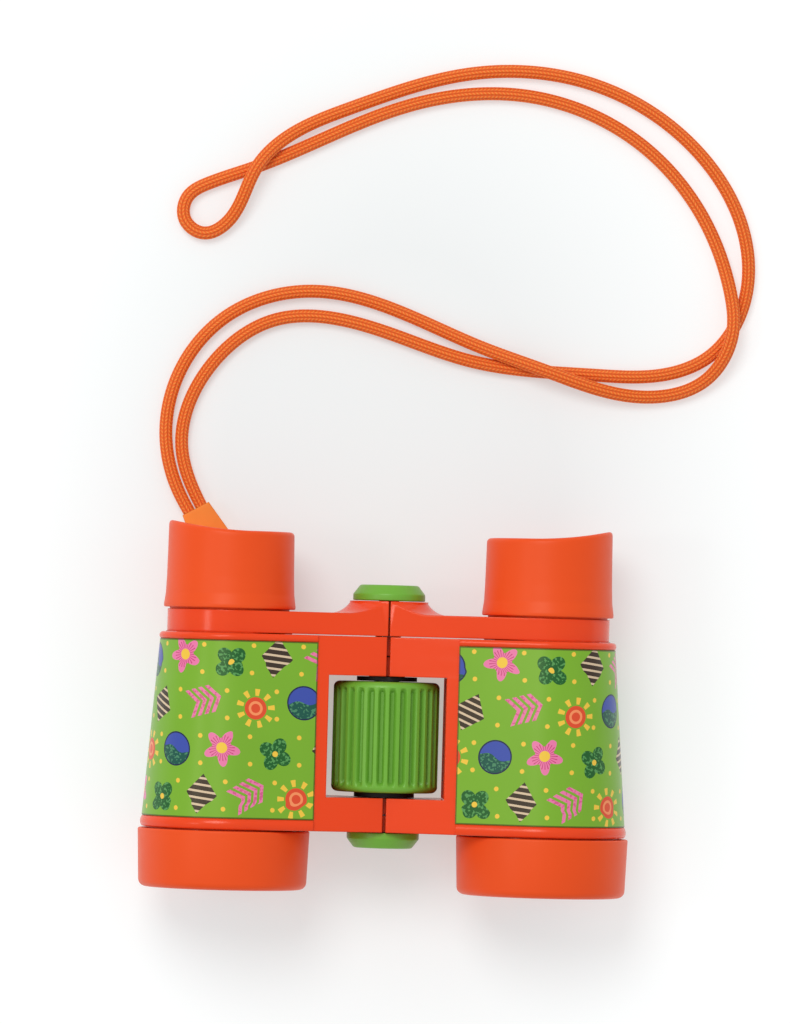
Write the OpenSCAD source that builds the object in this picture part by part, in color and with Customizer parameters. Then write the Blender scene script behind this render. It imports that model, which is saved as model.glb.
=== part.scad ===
// Toy binoculars for a child: two barrels on a centre hinge, a ribbed wheel that drives both
// eyepieces along a screw, soft eyecups and a neck cord on a rubber tab. Millimetres.
// The part lies flat: x to the right, y towards the eyepieces, z up, origin on the table.

/* [Overall] */
// Distance between the axes of the two barrels
barrel_spacing = 75; // [72:0.5:84]
// Outside diameter of the objective rings
ring_d = 40.5; // [39:0.5:44]
// How far the right half folds down about the hinge, in degrees
fold_angle = 80; // [20:5:80]
// Travel of the eyepieces over the whole turn of the wheel
focus_travel = 5; // [2:0.5:6]

/* [Objective ring and lens] */
// Length of the ring
ring_len = 13.8; // [12.5:0.1:18]
// How much smaller the ring's radius is at its front edge
ring_taper = 0.5; // [0:0.1:1]
// Rounding of the ring's front edge
ring_round = 2.2; // [0.8:0.1:2.6]
// Flat land on the front edge, inside the rounding
ring_land = 1.2; // [0.6:0.1:1.6]
// Depth of the straight bore that a lens cap fits in
cap_seat_len = 4; // [2.5:0.1:5]
// Step from that bore in to the lip in front of the lens
lip_step = 0.5; // [0.3:0.1:1]
// Length of the lip in front of the lens
lip_len = 4; // [3.5:0.1:5]
// Thickness of the lens at its edge
lens_edge = 1.5; // [1:0.1:2]
// Radius of the curved front of the lens
lens_curve_r = 46; // [44:1:80]

/* [Barrel] */
// Length of the barrel body from the ring to the eyepiece arm
body_len = 45.8; // [44:0.1:56]
// Step in radius from the ring down to the barrel
ring_step = 0.9; // [0.3:0.1:1.2]
// Step in radius from the barrel down to the spigot inside the ring
spigot_step = 1.5; // [1.2:0.1:2]
// Wall of the spigot
spigot_wall = 1.6; // [1.2:0.1:2.2]
// Gap between the ring and the barrel body
ring_gap = 0.4; // [0.2:0.1:0.8]
// Wall round the sliding eyepiece tube at the rear of the barrel
guide_wall = 3.5; // [2.8:0.1:4]
// Length over which the barrel guides the eyepiece tube
guide_len = 10; // [7:0.5:14]
// Room between the eyepiece tube and the barrel in front of the guide
tube_room = 1.3; // [0.8:0.1:1.6]

/* [Hinge] */
// Diameter of the hinge pin
pin_d = 6; // [5:0.1:7]
// Wall of the bush that the focus screw slides in
bush_wall = 1.2; // [0.8:0.1:1.6]
// Wall of the hinge eyes
eye_wall = 1.8; // [1.4:0.1:2.4]
// Wall of the half shells outside the eyes
shell_wall = 2.9; // [2:0.1:3.6]
// Gap between the eyes of the two halves, along and across the hinge
eye_gap = 0.3; // [0.2:0.05:0.5]
// Visible gap between the two barrel halves
split_gap = 0.8; // [0.5:0.1:1.4]
// Visible gap between the two eyepiece arms
arm_split_gap = 0.4; // [0.3:0.1:1]
// Length of the front bridge, from the barrel's front edge to the wheel's window
front_bridge_len = 8; // [6:0.1:9]

/* [Focus wheel] */
// Diameter of the wheel over its ridges
wheel_d = 25; // [22:0.1:25.6]
// Length of the wheel
wheel_len = 26; // [22:0.1:27]
// Rounding of the wheel's two ends
wheel_round = 1.4; // [0.6:0.1:2]
// Number of grooves round the wheel
groove_count = 30; // [16:1:36]
// Diameter of the cutter that makes one groove
groove_d = 1.5; // [1:0.1:1.7]
// Length of the grooves
groove_len = 23; // [14:0.1:23.2]
// Gap between the wheel and the sides of its window
wheel_side_gap = 1.3; // [0.8:0.1:2]
// Diameter of the dark washers at the ends of the wheel
washer_d = 14.2; // [11:0.1:16]
// Thickness of the washers
washer_len = 1; // [0.6:0.1:1.4]
// Gap on each side of a washer
washer_gap = 0.15; // [0.1:0.05:0.3]
// Length of the hinge pin inside the wheel
wheel_journal_len = 8; // [6:0.1:9]

/* [Focus screw] */
// Diameter over the thread, and of the shank in the bush
screw_d = 6; // [5:0.1:7]
// Diameter of the journal that the eyepiece arms sit on
journal_d = 4.8; // [4:0.1:4.9]
// Depth of the thread
thread_depth = 0.7; // [0.5:0.05:0.9]
// Number of starts of the thread
thread_starts = 2; // [1:1:3]
// Gap between the end of the hinge pin and the end of the screw
screw_end_gap = 2; // [1:0.1:3]
// Outside diameter of the nut in the wheel
nut_d = 11; // [9.5:0.1:13]
// Length of the nut
nut_len = 9; // [7:0.1:10]

/* [End caps] */
// Diameter of the green caps on the hinge
cap_d = 17; // [15:0.1:18]
// Height of the caps
cap_len = 3.7; // [3.4:0.1:5]
// Diameter of the flat end of the caps
cap_end_d = 13.6; // [10:0.1:14.5]
// Height of the straight side of the caps
cap_side_len = 1.4; // [1:0.1:2]
// Wall of the caps
cap_wall = 1.1; // [0.8:0.1:1.3]
// Gap between a cap and the hinge that turns under it
cap_gap = 0.15; // [0.1:0.05:0.3]
// Thickness of the retaining discs under the caps
disc_len = 0.8; // [0.5:0.1:1]
// Diameter of the small screws' heads
head_d = 5; // [4:0.1:6]
// Height of the small screws' heads
head_len = 1.3; // [1:0.1:1.4]
// Diameter of the small screws' shanks
shank_d = 2.2; // [1.8:0.1:2.6]
// Length of the small screws' shanks
shank_len = 7; // [5:0.5:8]
// Width of one bar of the cross recess
recess_w = 0.7; // [0.5:0.1:0.9]
// Length of one bar of the cross recess
recess_len = 3; // [2:0.1:3.4]
// Depth of the cross recess
recess_depth = 0.8; // [0.5:0.1:0.9]

/* [Eyepieces] */
// Outside diameter of the eyepiece tubes
tube_d = 24.6; // [24:0.1:26]
// Wall of the eyepiece tubes
tube_wall = 1.4; // [1.2:0.1:1.8]
// Length of the eyepiece tube in front of the arm
tube_front_len = 14; // [12:0.5:16]
// Gap between the barrel and the arm when focused in
focus_gap = 0.2; // [0.2:0.1:1]
// Length of the arm along the barrel
arm_len = 5.2; // [4.6:0.1:8]
// Wall of the arm's collar round the tube
collar_wall = 2.3; // [1.6:0.1:2.6]
// Height of the boss at the hinge above the arm
boss_len = 3; // [2.8:0.1:5]
// Straight side of the boss above the flare
boss_side_len = 0.3; // [0.2:0.1:1]
// Radius of the hollow flare between boss and arm
flare_r = 6; // [4:0.1:8]
// Thickness of the eye lens
eye_lens_len = 3.5; // [3:0.1:4.5]
// Radius of the two hollow faces of the eye lens
eye_lens_curve_r = 46; // [40:1:80]
// Width of the lip that the eye lens sits on
eye_lip_w = 2.2; // [1.5:0.1:3]
// Thickness of that lip
eye_lip_len = 1; // [0.8:0.1:2]
// Thickness of the ring that holds the eye lens
eye_ring_len = 0.8; // [0.6:0.1:1.4]

/* [Eyecups] */
// Dark groove between the arm and the eyecup
neck_gap = 0.4; // [0.3:0.1:1.2]
// Length of the eyecup on the side of the nose
cup_len = 18.2; // [16.5:0.1:21]
// Wall of the eyecup
cup_wall = 2.5; // [1.8:0.1:2.8]
// How much wider the eyecup is at its waist than at its rim, in radius
cup_taper = 0.2; // [0:0.05:0.5]
// How far the eyecup's base stands out past its waist
cup_base_lip = 0.5; // [0.3:0.05:1]
// Straight height of the base
cup_base_len = 0.8; // [0.5:0.1:1.5]
// Length of the flare from the base to the waist
cup_flare_len = 6; // [2:0.1:7]
// Depth of the bowl inside the cup, on the side of the nose
cup_bowl_len = 4.9; // [4:0.1:6]
// Thickness of the floor inside the cup
cup_floor_len = 1.2; // [0.8:0.1:1.6]
// Width of the floor, from the cup's wall to the hole for the eye
cup_floor_w = 2.3; // [1.5:0.1:3]
// How much the inside of the cup opens towards the rim, in radius
cup_draft = 0.8; // [0.3:0.1:1]
// Radius of the curve of the raised outer wing
wing_r = 83; // [60:1:140]
// Where the wing starts to rise, from the barrel's axis towards the nose
wing_inset = 5; // [0:0.5:8]

/* [Labels] */
// Thickness of the printed label
label_t = 0.25; // [0.2:0.05:0.4]
// Bare margin at the front of the barrel
label_front_margin = 2.6; // [1.5:0.1:5]
// Bare margin at the rear of the barrel
label_rear_margin = 1.7; // [1:0.1:5]
// Bare margin from the window's side to the label's edge
label_side_margin = 2.7; // [2:0.1:6]

/* [Lugs, tab and cord] */
// Width of the lug under each barrel
lug_w = 10; // [9:0.1:12]
// Length of the lug
lug_len = 6; // [5:0.1:8]
// Angle of the lug and the tab to the barrel, in degrees
lug_angle = 29; // [20:1:35]
// Distance of the lug from the barrel's axis, towards the hinge
lug_inset = 10.5; // [8:0.1:12]
// Distance of the lug's middle from the rear edge of the barrel
lug_back = 5.5; // [5.2:0.1:9]
// Width of the tongue in the lug
tongue_w = 6; // [5:0.1:6.6]
// Thickness of the tongue
tongue_t = 2.4; // [1.8:0.1:2.6]
// Height of the tongue above the table
tongue_floor = 0.9; // [0.7:0.05:1]
// Clearance of the tongue in its slot
slot_fit = 0.1; // [0.05:0.05:0.2]
// How far the stop on the tongue stands out on each side
stop_lip = 1.2; // [0.8:0.1:1.5]
// Length of the stop
stop_len = 2; // [1.5:0.1:2.5]
// Distance from the lug's middle to the end of the tab
tab_reach = 39.8; // [38:0.1:41]
// Widest part of the tab
tab_w = 10; // [8:0.1:11]
// Thickness of the tab under the eyecup
tab_t = 3; // [2.6:0.1:3.3]
// Width of the tab at the cord
tab_end_w = 7; // [7:0.1:8.4]
// Length of the thick end that holds the cord
tab_end_len = 9.5; // [6:0.1:10]
// Thickness of the end that holds the cord
tab_end_t = 4.5; // [4.4:0.1:4.7]
// Length over which the tab narrows to its end
tab_taper_len = 10.5; // [10:0.1:12]
// Diameter of the neck cord
cord_d = 3; // [2.6:0.1:3]
// Distance between the two ends of the cord in the tab
cord_pitch = 3.2; // [3.2:0.1:3.6]
// Depth of the pocket that the cord's ends sit in
cord_pocket_len = 3; // [2.5:0.1:4]

/* [Fits] */
// Radial clearance of parts that turn or slide on each other
run_fit = 0.06; // [0.04:0.01:0.1]
// Radial clearance of the lenses in their seats
lens_fit = 0.2; // [0.1:0.05:0.4]
// Radial clearance of the thread
thread_fit = 0.25; // [0.2:0.05:0.35]

/* [Hidden] */
$fn = 96;

LEFT = -1;
RIGHT = 1;
body_colour = [0.90, 0.22, 0.14];
soft_colour = [0.90, 0.32, 0.16];
green_colour = [0.41, 0.69, 0.22];
label_colour = [0.52, 0.75, 0.30];
dark_colour = [0.13, 0.13, 0.14];
metal_colour = [0.70, 0.70, 0.72];
lens_colour = [0.80, 0.88, 0.92];
tab_colour = [0.95, 0.50, 0.15];
cord_colour = [0.93, 0.40, 0.12];

// how far cuts run past what they cut, and how far tangent faces sink into each other
overrun = 1;
blend_sink = 0.05;
// extra opening of the notch under the hinge, past the fold
notch_margin = 1.5;
// steps of the curves that are drawn as short straight pieces
round_steps = 8;
web_steps = 12;
thread_sides = 16;
cord_sides = 8;
cord_steps = 2;
// times that the cord's slopes are eased
slope_steps = 12;

half_span = barrel_spacing / 2;
axis_z = ring_d / 2;

// objective ring and lens, in radius, and along the barrel from the front edge
ring_r = ring_d / 2;
ring_front_r = ring_r - ring_taper;
cap_seat_r = ring_front_r - ring_round - ring_land;
lip_r = cap_seat_r - lip_step;
body_front_r = ring_r - ring_step;
spigot_r = body_front_r - spigot_step;
lens_r = spigot_r - lens_fit;
dome_r = lip_r - lens_fit;
lens_z = cap_seat_len + lip_len;
spigot_z = lens_z + lens_edge;
body_z = ring_len + ring_gap;
body_rear_z = body_z + body_len;

// eyepieces
tube_r = tube_d / 2;
tube_bore_r = tube_r - tube_wall;
body_rear_r = tube_r + guide_wall;
collar_r = tube_r + collar_wall;
arm_z = body_rear_z + focus_gap;
arm_rear_z = arm_z + arm_len;
boss_rear_z = arm_rear_z + boss_len;
tube_z = arm_z - tube_front_len;
cup_z = arm_rear_z + neck_gap;
cup_rim_z = cup_z + cup_len;
cup_rim_r = tube_r + cup_wall;
cup_waist_r = cup_rim_r + cup_taper;
cup_base_r = cup_waist_r + cup_base_lip;
cup_wing_x = cup_rim_r + wing_inset;
cup_wing_rise = wing_r - sqrt(wing_r * wing_r - cup_wing_x * cup_wing_x);
total_len = cup_rim_z + cup_wing_rise;
cup_bowl_z = cup_rim_z - cup_bowl_len;
tube_rear_z = cup_bowl_z - cup_floor_len;
eye_ring_z = tube_rear_z - eye_ring_len;
eye_lens_z = eye_ring_z - eye_lens_len;
eye_lens_r = tube_bore_r - lens_fit;
eye_lip_r = tube_bore_r - eye_lip_w;

// hinge
pin_r = pin_d / 2;
screw_r = screw_d / 2;
journal_r = journal_d / 2;
bush_r = screw_r + run_fit + bush_wall;
eye_r = bush_r + eye_wall;
knuckle_r = eye_r + eye_gap + shell_wall;
notch_angle = fold_angle / 2 + notch_margin;

// focus wheel in its window
wheel_r = wheel_d / 2;
washer_room = washer_len + 2 * washer_gap;
window_w = wheel_d + 2 * wheel_side_gap;
window_len = wheel_len + 2 * washer_room;
window_z = body_z + front_bridge_len;
window_rear_z = window_z + window_len;
wheel_z = window_z + washer_room;
wheel_rear_z = wheel_z + wheel_len;
pin_rear_z = wheel_z + wheel_journal_len;
screw_z = pin_rear_z + screw_end_gap;
nut_r = nut_d / 2;
nut_z = screw_z + focus_travel - screw_end_gap / 2;
nut_rear_z = nut_z + nut_len;
thread_len = nut_rear_z - screw_z;

// the two hinge zones of the barrels and that of the arms, each from its front to its rear face
FRONT_BRIDGE = [body_z, window_z];
REAR_BRIDGE = [window_rear_z, body_rear_z];
ARM_HINGE = [arm_z, boss_rear_z];

// end caps
cap_r = cap_d / 2;
disc_r = cap_end_d / 2 - cap_wall / 2;
front_cap_z = body_z - cap_gap;
rear_cap_z = boss_rear_z + cap_gap;

// label
label_z = body_z + label_front_margin;
label_rear_z = body_rear_z - label_rear_margin;
label_side_x = window_w / 2 + label_side_margin;

// lugs and tab, in the part's own frame
lug_x = -half_span + lug_inset;
lug_y = body_rear_z - lug_back - total_len / 2;
lug_top = axis_z / 2;
tab_floor = tongue_floor - (tab_t - tongue_t) / 2;
// height of the thick end's middle over the strap's
tab_end_lift = 0.25;
tab_end_floor = tab_floor + tab_t / 2 - tab_end_t / 2 + tab_end_lift;
pocket_fit = slot_fit / 2;

// The cord's route, chosen by hand: out of the tab, round the loop, and back into the tab
CORD_ROUTE = [
  [-46.6, 43.3, 2.3], [-50, 49.2, 2], [-53.8, 62.2, 1.75], [-51, 78.7, 1.75], [-39.5, 92.7, 1.75],
  [-21, 98.7, 1.9], [20.5, 86.5, 2.8], [36, 81.2, 5.2], [60, 75.7, 2.2], [74.5, 80.2, 2.8],
  [80.4, 91.7, 5.3], [79.8, 100.7, 3.4], [73.5, 117.7, 1.75], [56.5, 136.7, 1.75], [30.5, 146.7, 1.75],
  [2, 143.7, 1.75], [-35, 127.7, 1.75], [-45.6, 123.7, 1.75], [-50.2, 120.5, 1.75], [-50.8, 115.1, 1.75],
  [-46.3, 111.9, 1.8], [-41, 114.3, 2.3], [-34.3, 127.2, 5.2], [-27, 135.2, 3.4], [-12, 142.7, 1.75],
  [16.5, 151.7, 1.75], [45, 150.2, 1.75], [69, 136.7, 1.75], [83, 114.2, 1.75], [83, 98.2, 1.75],
  [75, 85.7, 1.75], [64, 81.1, 1.75], [48, 80.6, 1.75], [18, 83.2, 1.75], [-10.5, 91.7, 1.75],
  [-28.5, 91.7, 1.75], [-43, 81.2, 1.75], [-50, 60.7, 1.75], [-47, 50.7, 2], [-43.9, 44.8, 2.3]
];

// Places children whose z runs along a barrel from its front edge, with y pointing down
module along(x) {
  translate([x, -total_len / 2, axis_z])
    rotate([-90, 0, 0])
      children();
}

// Children are drawn for the left half and mirrored for the right one
module in_half(side) {
  if (side == RIGHT)
    mirror([1, 0, 0])
      children();
  else
    children();
}

module barrel_axis() {
  translate([-half_span, 0, 0])
    children();
}

module disc(r, z0, z1) {
  translate([0, 0, z0])
    cylinder(h = z1 - z0, r = r);
}

module cone(r0, r1, z0, z1) {
  translate([0, 0, z0])
    cylinder(h = z1 - z0, r1 = r0, r2 = r1);
}

function arc_points(centre, r, from, to) = [
  for (i = [0 : round_steps])
    let (a = from + (to - from) * i / round_steps)
      [centre[0] + r * cos(a), centre[1] + r * sin(a)]
];

// Radius that a part of this side has round a part that is fixed in the left half
function turning_r(side, r) = side == LEFT ? r : r + run_fit;

// Corners of the bridge where it is tangent to a barrel of radius r and to the hinge
function web_corners(r) =
  let (a = asin((r - knuckle_r) / half_span), rb = r - blend_sink, rk = knuckle_r - blend_sink)
    [
      [rb * sin(a) - half_span, rb * cos(a)], [rk * sin(a), rk * cos(a)],
      [rk * sin(a), -rk * cos(a)], [rb * sin(a) - half_span, -rb * cos(a)]
    ];

function body_r(z) = body_front_r + (body_rear_r - body_front_r) * (z - body_z) / body_len;

// Faces of a closed tube of rings, each with the same number of points
function tube_faces(rings, sides) = concat(
  [for (i = [0 : rings - 2], k = [0 : sides - 1])
    [i * sides + k, i * sides + (k + 1) % sides, (i + 1) * sides + k]],
  [for (i = [0 : rings - 2], k = [0 : sides - 1])
    [(i + 1) * sides + k, i * sides + (k + 1) % sides, (i + 1) * sides + (k + 1) % sides]],
  [for (k = [1 : sides - 2]) [0, k + 1, k]],
  [for (k = [1 : sides - 2]) [(rings - 1) * sides, (rings - 1) * sides + k, (rings - 1) * sides + k + 1]]
);

// The bridge between a barrel and the hinge, grown outwards by the label's thickness or by nothing
module web(grow) {
  points = [
    for (i = [0 : web_steps])
      let (z = body_z + body_len * i / web_steps, corners = web_corners(body_r(z)))
        for (k = [0 : 3])
          [corners[k][0], corners[k][1] + (k < 2 ? grow : -grow), z]
  ];
  polyhedron(points = points, faces = tube_faces(web_steps + 1, 4));
}

// Space for the other half: past the split, and the notch below that closes when folded
module other_half(gap, z0, z1) {
  translate([-gap / 2, -ring_d, z0])
    cube([2 * ring_d, 2 * ring_d, z1 - z0]);
  translate([0, 0, z0])
    linear_extrude(height = z1 - z0)
      polygon([[0, 0], [0, ring_d], [-ring_d * tan(notch_angle), ring_d]]);
}

// One half's eye fills the front part of a hinge zone on the left and the rear part on the right
module own_eye(side, zone) {
  middle = (zone[0] + zone[1]) / 2;
  if (side == LEFT)
    disc(eye_r, zone[0], middle - eye_gap / 2);
  else
    disc(eye_r, middle + eye_gap / 2, zone[1]);
}

module other_eye_room(side, zone) {
  middle = (zone[0] + zone[1]) / 2;
  if (side == LEFT)
    disc(eye_r + eye_gap, middle - eye_gap / 2, zone[1] + overrun);
  else
    disc(eye_r + eye_gap, zone[0] - overrun, middle + eye_gap / 2);
}

module lug_place() {
  translate([lug_x, lug_y, 0])
    rotate([0, 0, lug_angle])
      children();
}

module lug_block(grow) {
  lug_place()
    translate([-lug_w / 2 - grow, -lug_len / 2 - grow, -grow])
      cube([lug_w + 2 * grow, lug_len + 2 * grow, lug_top + grow]);
}

module lug_slot() {
  lug_place()
    translate([-tongue_w / 2 - slot_fit, -lug_len, tongue_floor - slot_fit])
      cube([tongue_w + 2 * slot_fit, 2 * lug_len, tongue_t + 2 * slot_fit]);
}

// Outside of one barrel half before the hinge is cut
module barrel_outside() {
  barrel_axis() {
    cone(body_front_r, body_rear_r, body_z, body_rear_z);
    disc(spigot_r, spigot_z, body_z + overrun);
  }
  web(0);
  disc(knuckle_r, body_z, body_rear_z);
}

module barrel_bore() {
  barrel_axis() {
    cone(spigot_r - spigot_wall, tube_r + tube_room, spigot_z - overrun, body_rear_z - guide_len);
    disc(tube_r + run_fit, spigot_z, body_rear_z + overrun);
  }
}

module barrel(side) {
  color(body_colour)
    in_half(side)
      difference() {
        union() {
          along(0) {
            difference() {
              barrel_outside();
              other_half(split_gap, body_z - overrun, body_rear_z + overrun);
              translate([-window_w / 2, -ring_d, window_z])
                cube([window_w, 2 * ring_d, window_len]);
              other_eye_room(side, FRONT_BRIDGE);
              other_eye_room(side, REAR_BRIDGE);
            }
            own_eye(side, FRONT_BRIDGE);
            own_eye(side, REAR_BRIDGE);
          }
          lug_block(0);
        }
        along(0) {
          barrel_bore();
          disc(turning_r(side, pin_r), body_z - overrun, window_z + overrun);
          disc(turning_r(side, bush_r), window_rear_z - overrun, body_rear_z + overrun);
        }
        lug_slot();
      }
}

module label(side) {
  color(label_colour)
    in_half(side)
      difference() {
        along(0)
          intersection() {
            difference() {
              union() {
                barrel_axis()
                  cone(body_front_r + label_t, body_rear_r + label_t, body_z, body_rear_z);
                web(label_t);
              }
              barrel_axis()
                cone(body_front_r, body_rear_r, body_z, body_rear_z);
              web(0);
            }
            translate([-barrel_spacing - label_side_x, -ring_d, label_z])
              cube([barrel_spacing, 2 * ring_d, label_rear_z - label_z]);
          }
        lug_block(eye_gap);
      }
}

module objective_ring(side) {
  color(soft_colour)
    in_half(side)
      along(-half_span)
        rotate_extrude()
          polygon(concat(
            [[cap_seat_r, 0]],
            arc_points([ring_front_r - ring_round, ring_round], ring_round, -90, 0),
            [
              [ring_r, ring_len], [spigot_r, ring_len], [spigot_r, lens_z], [lip_r, lens_z],
              [lip_r, cap_seat_len], [cap_seat_r, cap_seat_len]
            ]
          ));
}

// Plano-convex lens, its edge held between the ring's lip and the barrel's spigot
module objective_lens(side) {
  dome_sink = sqrt(lens_curve_r * lens_curve_r - dome_r * dome_r);
  color(lens_colour)
    in_half(side)
      along(-half_span) {
        disc(lens_r, lens_z, spigot_z);
        intersection() {
          translate([0, 0, lens_z + dome_sink])
            sphere(r = lens_curve_r);
          disc(dome_r, 0, spigot_z);
        }
      }
}

module arm_outline() {
  corners = web_corners(collar_r);
  translate([-half_span, 0])
    circle(r = collar_r);
  circle(r = knuckle_r);
  polygon(corners);
}

// Hollow flare that runs from the boss down to the arm
module boss_flare() {
  rise = boss_len - boss_side_len;
  flare_w = sqrt(2 * flare_r * rise - rise * rise);
  centre = [knuckle_r + flare_w - blend_sink, flare_r - blend_sink];
  translate([0, 0, arm_rear_z])
    intersection() {
      rotate_extrude()
        difference() {
          square([knuckle_r + flare_w, rise]);
          translate(centre)
            circle(r = flare_r);
        }
      linear_extrude(height = boss_len)
        arm_outline();
    }
}

module eyepiece_arm(side) {
  color(body_colour)
    in_half(side)
      along(0)
        difference() {
          union() {
            difference() {
              union() {
                translate([0, 0, arm_z])
                  linear_extrude(height = arm_len)
                    arm_outline();
                disc(knuckle_r, arm_z, boss_rear_z);
                boss_flare();
              }
              other_half(arm_split_gap, arm_z - overrun, boss_rear_z + overrun);
              other_eye_room(side, ARM_HINGE);
            }
            own_eye(side, ARM_HINGE);
          }
          barrel_axis()
            disc(tube_r, arm_z - overrun, arm_rear_z + overrun);
          disc(turning_r(side, journal_r), arm_z - overrun, boss_rear_z + overrun);
        }
}

module eyepiece_tube(side) {
  color(dark_colour)
    in_half(side)
      along(-half_span)
        difference() {
          disc(tube_r, tube_z, tube_rear_z);
          disc(eye_lip_r, tube_z - overrun, tube_rear_z);
          disc(tube_bore_r, tube_z - overrun, eye_lens_z - eye_lip_len);
          disc(tube_bore_r, eye_lens_z, tube_rear_z + overrun);
        }
}

// Biconcave lens
module eye_lens(side) {
  hollow = sqrt(eye_lens_curve_r * eye_lens_curve_r - eye_lip_r * eye_lip_r);
  color(lens_colour)
    in_half(side)
      along(-half_span)
        difference() {
          disc(eye_lens_r, eye_lens_z, eye_ring_z);
          translate([0, 0, eye_lens_z - hollow])
            sphere(r = eye_lens_curve_r);
          translate([0, 0, eye_ring_z + hollow])
            sphere(r = eye_lens_curve_r);
        }
}

module eye_lens_ring(side) {
  color(dark_colour)
    in_half(side)
      along(-half_span)
        difference() {
          disc(tube_bore_r, eye_ring_z, tube_rear_z);
          disc(eye_lip_r, eye_ring_z - overrun, tube_rear_z + overrun);
        }
}

// What is cut off above the rim: level towards the nose, a rising curve on the outside
module above_wing() {
  rotate([90, 0, 0])
    linear_extrude(height = 2 * ring_d, center = true) {
      translate([wing_inset, cup_rim_z])
        square([ring_d, ring_d]);
      intersection() {
        translate([wing_inset, cup_rim_z + wing_r])
          circle(r = wing_r);
        translate([wing_inset - ring_d, cup_rim_z])
          square([ring_d, ring_d]);
      }
    }
}

module eyecup(side) {
  top_z = total_len + overrun;
  bowl_r = cup_rim_r - cup_wall - cup_draft / 2;
  color(soft_colour)
    in_half(side)
      along(-half_span)
        difference() {
          rotate_extrude()
            polygon([
              [tube_r, cup_z], [cup_base_r, cup_z], [cup_base_r, cup_z + cup_base_len],
              [cup_waist_r, cup_z + cup_base_len + cup_flare_len], [cup_rim_r, cup_rim_z],
              [cup_rim_r, top_z], [bowl_r + cup_draft, top_z], [bowl_r + cup_draft, cup_rim_z],
              [bowl_r, cup_bowl_z], [bowl_r - cup_floor_w, cup_bowl_z],
              [bowl_r - cup_floor_w, tube_rear_z], [tube_r, tube_rear_z]
            ]);
          above_wing();
        }
}

module hinge_pin() {
  color(metal_colour)
    along(0)
      difference() {
        disc(pin_r, front_cap_z, pin_rear_z);
        disc(shank_d / 2, front_cap_z - overrun, front_cap_z + shank_len - disc_len);
      }
}

module hinge_bush() {
  color(dark_colour)
    along(0)
      difference() {
        disc(bush_r, window_rear_z - washer_gap - washer_len, body_rear_z);
        disc(screw_r + run_fit, window_z, arm_z);
      }
}

module front_washer() {
  color(dark_colour)
    along(0)
      difference() {
        disc(washer_d / 2, window_z + washer_gap, window_z + washer_gap + washer_len);
        disc(pin_r, window_z, wheel_z);
      }
}

module rear_washer() {
  color(dark_colour)
    along(0)
      difference() {
        disc(washer_d / 2, window_rear_z - washer_gap - washer_len, window_rear_z - washer_gap);
        disc(bush_r, wheel_rear_z, window_rear_z);
      }
}

module wheel_profile() {
  polygon(concat(
    [[0, 0]],
    arc_points([wheel_r - wheel_round, wheel_round], wheel_round, -90, 0),
    arc_points([wheel_r - wheel_round, wheel_len - wheel_round], wheel_round, 0, 90),
    [[0, wheel_len]]
  ));
}

module focus_wheel() {
  groove_z = wheel_z + (wheel_len - groove_len) / 2;
  color(green_colour)
    along(0)
      difference() {
        translate([0, 0, wheel_z])
          rotate_extrude()
            wheel_profile();
        for (i = [0 : groove_count - 1])
          rotate([0, 0, 360 * i / groove_count])
            translate([wheel_r, 0, 0])
              disc(groove_d / 2, groove_z, groove_z + groove_len);
        disc(pin_r + run_fit, wheel_z - overrun, wheel_rear_z);
        disc(screw_r + thread_fit, pin_rear_z, wheel_rear_z);
        disc(nut_r, nut_z, wheel_rear_z + overrun);
      }
}

// Cross-section of the thread: a circle that swells once for each start
module thread_section(grow) {
  middle_r = screw_r - thread_depth / 2;
  polygon([
    for (i = [0 : thread_sides - 1])
      let (a = 360 * i / thread_sides, r = middle_r + grow + thread_depth / 2 * cos(thread_starts * a))
        [r * cos(a), r * sin(a)]
  ]);
}

// Right-hand thread that starts at the same turn wherever it is cut from
module thread(grow, z0, z1) {
  turn = 360 / focus_travel;
  translate([0, 0, z0])
    rotate([0, 0, turn * (z0 - screw_z)])
      linear_extrude(
        height = z1 - z0, twist = -turn * (z1 - z0), segments = thread_sides,
        slices = ceil(thread_sides * (z1 - z0) / focus_travel)
      )
        thread_section(grow);
}

module focus_nut() {
  color(dark_colour)
    along(0)
      difference() {
        disc(nut_r, nut_z, nut_rear_z);
        thread(thread_fit, nut_z - overrun, nut_rear_z + overrun);
      }
}

module focus_screw() {
  color(metal_colour)
    along(0)
      difference() {
        union() {
          thread(0, screw_z, screw_z + thread_len);
          disc(screw_r, screw_z + thread_len, arm_z);
          disc(journal_r, arm_z, rear_cap_z);
        }
        disc(shank_d / 2, rear_cap_z - shank_len + disc_len, rear_cap_z + overrun);
      }
}

// Caps, discs and small screws are drawn with z pointing out of the hinge
module at_front_end() {
  along(0)
    translate([0, 0, front_cap_z])
      mirror([0, 0, 1])
        children();
}

module at_rear_end() {
  along(0)
    translate([0, 0, rear_cap_z])
      children();
}

module end_cap() {
  color(green_colour)
    difference() {
      union() {
        disc(cap_r, 0, cap_side_len);
        cone(cap_r, cap_end_d / 2, cap_side_len, cap_len);
      }
      disc(disc_r, -overrun, cap_len - cap_wall);
    }
}

module end_disc() {
  color(metal_colour)
    difference() {
      disc(disc_r, 0, disc_len);
      disc(shank_d / 2, -overrun, disc_len + overrun);
    }
}

module end_disc_screw() {
  color(metal_colour)
    difference() {
      union() {
        disc(shank_d / 2, disc_len - shank_len, disc_len);
        disc(head_d / 2, disc_len, disc_len + head_len);
      }
      for (turn = [0, 90])
        rotate([0, 0, turn])
          translate([-recess_len / 2, -recess_w / 2, disc_len + head_len - recess_depth])
            cube([recess_len, recess_w, head_len]);
    }
}

module front_cap() {
  at_front_end()
    end_cap();
}

module front_disc() {
  at_front_end()
    end_disc();
}

module front_disc_screw() {
  at_front_end()
    end_disc_screw();
}

module rear_cap() {
  at_rear_end()
    end_cap();
}

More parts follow.
